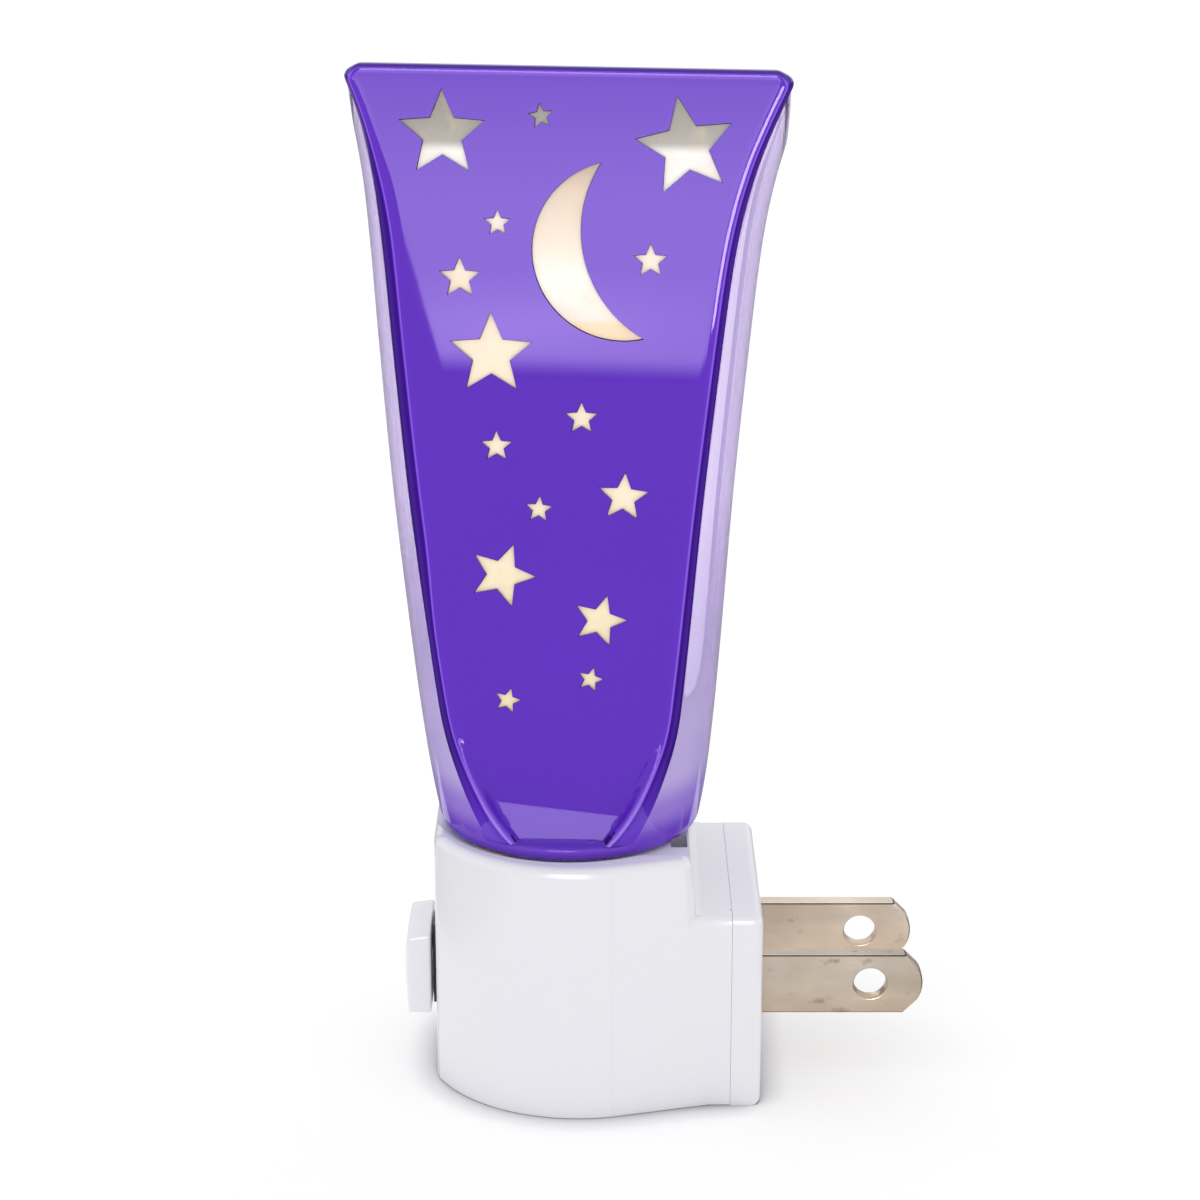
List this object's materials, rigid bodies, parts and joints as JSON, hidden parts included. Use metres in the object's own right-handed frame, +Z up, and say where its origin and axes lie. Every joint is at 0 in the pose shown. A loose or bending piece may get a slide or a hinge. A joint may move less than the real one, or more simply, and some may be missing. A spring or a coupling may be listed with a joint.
{
  "type": "plug-in night light",
  "caption": "Plug-in night light with a clear purple star and moon shade that turns on a white plug base, and a thumb slide switch on the nose.",
  "frame": {"origin": "on the flat underside of the base, on the axis about which the shade turns", "axes": "+Z up, +X the way the plug blades point, -Y the way the shade's star panel faces (it is turned 4 degrees from -Y at rest)"},
  "size_m": [0.0555, 0.0308, 0.1015],
  "materials": {
    "white_plastic": "glossy moulded white plastic",
    "knob_plastic": "glossy moulded white plastic of the thumb knob",
    "tan_acetal": "satin tan low-friction plastic",
    "nickel_plate": "nickel-plated brass, lightly brushed and stained",
    "brass_strip": "bright brass strip",
    "spring_steel": "bare spring steel",
    "holder_plastic": "ivory heat-resistant plastic",
    "cap_metal": "rolled brass screw cap",
    "cap_insulator": "black vitreous insulator",
    "solder": "soft solder contact",
    "lamp_glass": "clear lamp glass",
    "stem_glass": "clear pressed glass stem",
    "lead_wire": "drawn lead wire",
    "tungsten": "dark coiled tungsten",
    "carrier_plastic": "dark moulded plastic",
    "clear_purple": "transparent purple polycarbonate, glossy",
    "purple_panel": "saturated glossy purple plastic with cut-outs",
    "cream_diffuser": "glossy cream diffuser film"
  },
  "bodies": {
    "base": {"housing": "white_plastic", "back_cover": "white_plastic", "swivel_ring": "tan_acetal", "line_blade": "nickel_plate", "neutral_blade": "nickel_plate", "line_strip": "brass_strip", "neutral_strip": "brass_strip", "lamp_strip": "brass_strip", "lamp_holder": "holder_plastic", "screw_shell": "brass_strip", "centre_contact": "brass_strip", "brake_spring": "spring_steel", "lamp_cap": "cap_metal", "lamp_insulator": "cap_insulator", "lamp_eyelet": "solder", "lamp_glass": "lamp_glass", "lamp_stem": "stem_glass", "lamp_leads": "lead_wire", "filament": "tungsten"},
    "switch": {"switch_knob": "knob_plastic", "slot_cover": "carrier_plastic", "switch_carrier": "carrier_plastic", "contact_bridge": "brass_strip"},
    "shade": {"shade_shell": "clear_purple", "star_panel": "purple_panel", "diffuser": "cream_diffuser"}
  },
  "joints": [
    {"name": "shade_swivel", "type": "hinge", "parent": "base", "child": "shade", "pos_m": [0, 0, 0.026], "axis": [0, 0, 1], "continuous": true},
    {"name": "switch_slide", "type": "slide", "parent": "base", "child": "switch", "axis": [0, 0, 1], "range_m": [0, 0.0025]}
  ]
}
